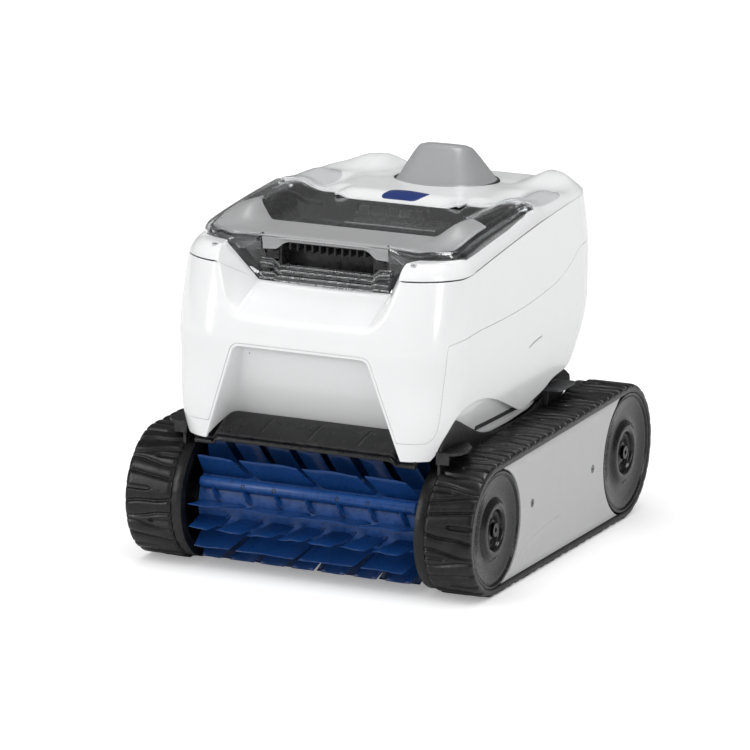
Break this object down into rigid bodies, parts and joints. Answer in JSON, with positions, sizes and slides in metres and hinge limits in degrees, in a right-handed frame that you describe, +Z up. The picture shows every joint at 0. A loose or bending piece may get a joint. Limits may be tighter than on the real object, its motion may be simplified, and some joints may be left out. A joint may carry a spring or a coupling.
{
  "type": "pool cleaner",
  "caption": "Tracked pool-cleaning robot with a front roller brush, a hinged clear lid over a filter canister, a pump duct with a rear outlet hood, and a sealed motor housing.",
  "frame": {"origin": "on the floor, under the middle of the overall box", "axes": "+Z up, the machine drives towards -Y, +X to the right of someone who faces the brush"},
  "size_m": [0.33, 0.428, 0.346],
  "materials": {
    "white_shell": "smooth glossy white moulded plastic",
    "chassis": "black moulded plastic, fine texture",
    "black_plastic": "black moulded plastic",
    "dark_plastic": "dark grey moulded plastic",
    "black_rubber": "black rubber",
    "bright_steel": "stainless steel",
    "dark_steel": "dark stainless screws",
    "grey_plastic": "satin mid grey plastic",
    "badge_blue": "bare glossy dark blue plaque",
    "panel_grey": "satin light grey plastic",
    "track_rubber": "black tread rubber",
    "wheel_black": "black wheel plastic",
    "hub_black": "semi gloss black cap",
    "gear_white": "natural acetal",
    "brush_blue": "deep blue moulded blades",
    "motor_steel": "plated motor can",
    "pinion_brass": "machined brass",
    "impeller_blue": "moulded impeller",
    "board_green": "circuit board",
    "canister_grey": "dark grey canister plastic",
    "mesh_steel": "fine filter mesh",
    "clear_plastic": "clear moulded polycarbonate"
  },
  "bodies": {
    "chassis": {"chassis_tub": "chassis", "chassis_deck": "chassis", "front_hood": "chassis", "suction_plate": "black_plastic", "suction_duct": "dark_plastic", "body_shell": "white_shell", "front_bezel": "white_shell", "skirt_left": "white_shell", "skirt_right": "white_shell", "top_cover": "white_shell", "cover_screws": "bright_steel", "outlet_hood": "grey_plastic", "outlet_ring": "black_plastic", "outlet_grille": "dark_plastic", "badge_plate": "badge_blue", "cable_gland": "black_plastic", "side_panel_left": "panel_grey", "side_panel_right": "panel_grey", "side_panel_screws": "dark_steel", "track_left": "track_rubber", "track_right": "track_rubber", "track_frame_left": "chassis", "track_frame_right": "chassis", "front_axle": "bright_steel", "front_hub_screws": "bright_steel", "rear_axle_bushes": "gear_white", "motor_housing": "dark_plastic", "motor_cover": "dark_plastic", "housing_seals": "black_rubber", "pump_motor": "motor_steel", "drive_motor": "motor_steel", "pump_duct": "dark_plastic", "circuit_board": "board_green", "canister_base": "canister_grey", "canister_cage": "canister_grey", "filter_mesh": "mesh_steel", "canister_handle": "black_plastic", "hinge_pins": "bright_steel"},
    "rear_drive": {"rear_axle": "bright_steel", "rear_wheels": "wheel_black", "rear_hub_caps": "hub_black", "rear_hub_screws": "bright_steel", "bull_gear": "gear_white"},
    "front_wheel_right_body": {"front_wheel_right": "wheel_black", "front_hub_cap_right": "hub_black", "wheel_gear": "gear_white"},
    "front_wheel_left_body": {"front_wheel_left": "wheel_black", "front_hub_cap_left": "hub_black"},
    "counter": {"countershaft": "gear_white"},
    "brush": {"brush_core": "dark_plastic", "brush_blades": "brush_blue", "brush_gear": "gear_white"},
    "pinion": {"drive_pinion": "pinion_brass"},
    "pump_rotor": {"pump_shaft": "bright_steel", "impeller": "impeller_blue"},
    "flap": {"suction_flap": "black_rubber"},
    "lid": {"lid_window": "clear_plastic", "lid_frame": "grey_plastic", "lid_handle_comb": "black_plastic", "lid_seal": "black_rubber"}
  },
  "joints": [
    {"name": "rear_axle_spin", "type": "hinge", "parent": "chassis", "child": "rear_drive", "pos_m": [0, 0.1505, 0.0635], "axis": [1, 0, 0], "continuous": true},
    {"name": "front_wheel_right_spin", "type": "hinge", "parent": "chassis", "child": "front_wheel_right_body", "pos_m": [0, -0.1545, 0.0595], "axis": [1, 0, 0], "continuous": true},
    {"name": "front_wheel_left_spin", "type": "hinge", "parent": "chassis", "child": "front_wheel_left_body", "pos_m": [0, -0.1545, 0.0595], "axis": [1, 0, 0], "continuous": true},
    {"name": "countershaft_spin", "type": "hinge", "parent": "chassis", "child": "counter", "pos_m": [0, -0.1245, 0.0595], "axis": [1, 0, 0], "continuous": true},
    {"name": "brush_spin", "type": "hinge", "parent": "chassis", "child": "brush", "pos_m": [0, -0.1545, 0.0595], "axis": [1, 0, 0], "continuous": true},
    {"name": "drive_pinion_spin", "type": "hinge", "parent": "chassis", "child": "pinion", "pos_m": [0, 0.113, 0.0635], "axis": [1, 0, 0], "continuous": true},
    {"name": "impeller_spin", "type": "hinge", "parent": "chassis", "child": "pump_rotor", "pos_m": [0, 0.102, 0.16], "axis": [0, 0, 1], "continuous": true},
    {"name": "suction_flap_hinge", "type": "hinge", "parent": "chassis", "child": "flap", "pos_m": [0, -0.063, 0.1382], "axis": [-1, 0, 0], "range_deg": [0, 60]},
    {"name": "lid_hinge", "type": "hinge", "parent": "chassis", "child": "lid", "pos_m": [0, -0.003, 0.309], "axis": [-1, 0, 0], "range_deg": [0, 70]}
  ],
  "couplings": [
    {"joint": "front_wheel_right_spin", "follows": "rear_axle_spin", "ratio": 1.0769},
    {"joint": "front_wheel_left_spin", "follows": "rear_axle_spin", "ratio": 1.0769},
    {"joint": "countershaft_spin", "follows": "rear_axle_spin", "ratio": -2.1538},
    {"joint": "brush_spin", "follows": "rear_axle_spin", "ratio": 2.1538},
    {"joint": "drive_pinion_spin", "follows": "rear_axle_spin", "ratio": -4}
  ]
}
